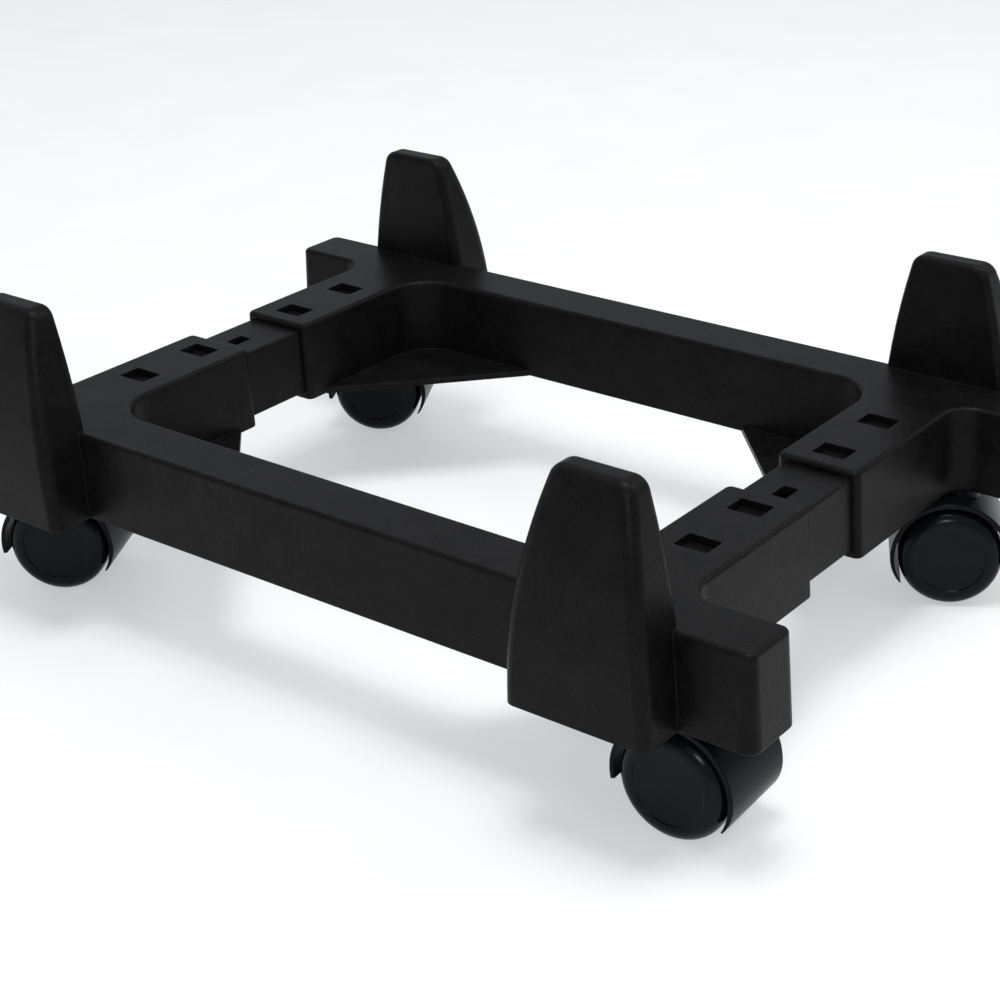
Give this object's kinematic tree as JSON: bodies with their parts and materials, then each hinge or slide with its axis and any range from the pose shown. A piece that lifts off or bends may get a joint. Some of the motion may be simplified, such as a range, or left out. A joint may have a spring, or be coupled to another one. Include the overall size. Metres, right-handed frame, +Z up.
{
  "type": "cpu holder",
  "caption": "Rolling stand for a computer tower: two telescoping half frames with corner posts on swivelling twin-wheel casters.",
  "frame": {"origin": "on the floor under the middle of the stand", "axes": "+X along the long beams, +Y along the width adjustment towards the rear half, +Z up"},
  "size_m": [0.3866, 0.266, 0.1284],
  "materials": {
    "frame_plastic": "black moulded plastic with a fine spark texture",
    "bar_plastic": "black moulded plastic with a fine spark texture",
    "caster_plastic": "black nylon, satin",
    "wheel_plastic": "black nylon, satin",
    "nylon": "natural nylon",
    "steel": "zinc-plated steel"
  },
  "bodies": {
    "rear_half": {"rear_half_frame": "frame_plastic", "rear_left_stem_socket": "nylon", "rear_right_stem_socket": "nylon"},
    "front_half": {"front_half_frame": "frame_plastic", "front_left_stem_socket": "nylon", "front_right_stem_socket": "nylon"},
    "link_bars": {"left_link_bar": "bar_plastic", "right_link_bar": "bar_plastic"},
    "front_left_caster": {"front_left_stem": "steel", "front_left_grip_ring": "steel", "front_left_thrust_washer": "caster_plastic", "front_left_caster_hood": "caster_plastic", "front_left_axle": "steel"},
    "front_left_outer_wheel": {"front_left_outer_wheel": "wheel_plastic"},
    "front_left_inner_wheel": {"front_left_inner_wheel": "wheel_plastic"},
    "front_right_caster": {"front_right_stem": "steel", "front_right_grip_ring": "steel", "front_right_thrust_washer": "caster_plastic", "front_right_caster_hood": "caster_plastic", "front_right_axle": "steel"},
    "front_right_outer_wheel": {"front_right_outer_wheel": "wheel_plastic"},
    "front_right_inner_wheel": {"front_right_inner_wheel": "wheel_plastic"},
    "rear_left_caster": {"rear_left_stem": "steel", "rear_left_grip_ring": "steel", "rear_left_thrust_washer": "caster_plastic", "rear_left_caster_hood": "caster_plastic", "rear_left_axle": "steel"},
    "rear_left_outer_wheel": {"rear_left_outer_wheel": "wheel_plastic"},
    "rear_left_inner_wheel": {"rear_left_inner_wheel": "wheel_plastic"},
    "rear_right_caster": {"rear_right_stem": "steel", "rear_right_grip_ring": "steel", "rear_right_thrust_washer": "caster_plastic", "rear_right_caster_hood": "caster_plastic", "rear_right_axle": "steel"},
    "rear_right_outer_wheel": {"rear_right_outer_wheel": "wheel_plastic"},
    "rear_right_inner_wheel": {"rear_right_inner_wheel": "wheel_plastic"}
  },
  "joints": [
    {"name": "rear_sleeve_slide", "type": "slide", "parent": "rear_half", "child": "link_bars", "axis": [0, -1, 0], "range_m": [-0.015, 0.03]},
    {"name": "front_sleeve_slide", "type": "slide", "parent": "link_bars", "child": "front_half", "axis": [0, -1, 0], "range_m": [-0.015, 0.03]},
    {"name": "front_left_swivel", "type": "hinge", "parent": "front_half", "child": "front_left_caster", "pos_m": [-0.154, -0.0955, 0.045], "axis": [0, 0, 1], "continuous": true},
    {"name": "front_left_outer_spin", "type": "hinge", "parent": "front_left_caster", "child": "front_left_outer_wheel", "pos_m": [-0.15054, -0.0935, 0.02], "axis": [-0.5, 0.866, 0], "continuous": true},
    {"name": "front_left_inner_spin", "type": "hinge", "parent": "front_left_caster", "child": "front_left_inner_wheel", "pos_m": [-0.15054, -0.0935, 0.02], "axis": [-0.5, 0.866, 0], "continuous": true},
    {"name": "front_right_swivel", "type": "hinge", "parent": "front_half", "child": "front_right_caster", "pos_m": [0.154, -0.0955, 0.045], "axis": [0, 0, 1], "continuous": true},
    {"name": "front_right_outer_spin", "type": "hinge", "parent": "front_right_caster", "child": "front_right_outer_wheel", "pos_m": [0.15799, -0.09529, 0.02], "axis": [-0.0523, 0.9986, 0], "continuous": true},
    {"name": "front_right_inner_spin", "type": "hinge", "parent": "front_right_caster", "child": "front_right_inner_wheel", "pos_m": [0.15799, -0.09529, 0.02], "axis": [-0.0523, 0.9986, 0], "continuous": true},
    {"name": "rear_left_swivel", "type": "hinge", "parent": "rear_half", "child": "rear_left_caster", "pos_m": [-0.154, 0.0955, 0.045], "axis": [0, 0, 1], "continuous": true},
    {"name": "rear_left_outer_spin", "type": "hinge", "parent": "rear_left_caster", "child": "rear_left_outer_wheel", "pos_m": [-0.15054, 0.0975, 0.02], "axis": [-0.5, 0.866, 0], "continuous": true},
    {"name": "rear_left_inner_spin", "type": "hinge", "parent": "rear_left_caster", "child": "rear_left_inner_wheel", "pos_m": [-0.15054, 0.0975, 0.02], "axis": [-0.5, 0.866, 0], "continuous": true},
    {"name": "rear_right_swivel", "type": "hinge", "parent": "rear_half", "child": "rear_right_caster", "pos_m": [0.154, 0.0955, 0.045], "axis": [0, 0, 1], "continuous": true},
    {"name": "rear_right_outer_spin", "type": "hinge", "parent": "rear_right_caster", "child": "rear_right_outer_wheel", "pos_m": [0.15057, 0.09344, 0.02], "axis": [0.515, -0.8572, 0], "continuous": true},
    {"name": "rear_right_inner_spin", "type": "hinge", "parent": "rear_right_caster", "child": "rear_right_inner_wheel", "pos_m": [0.15057, 0.09344, 0.02], "axis": [0.515, -0.8572, 0], "continuous": true}
  ]
}
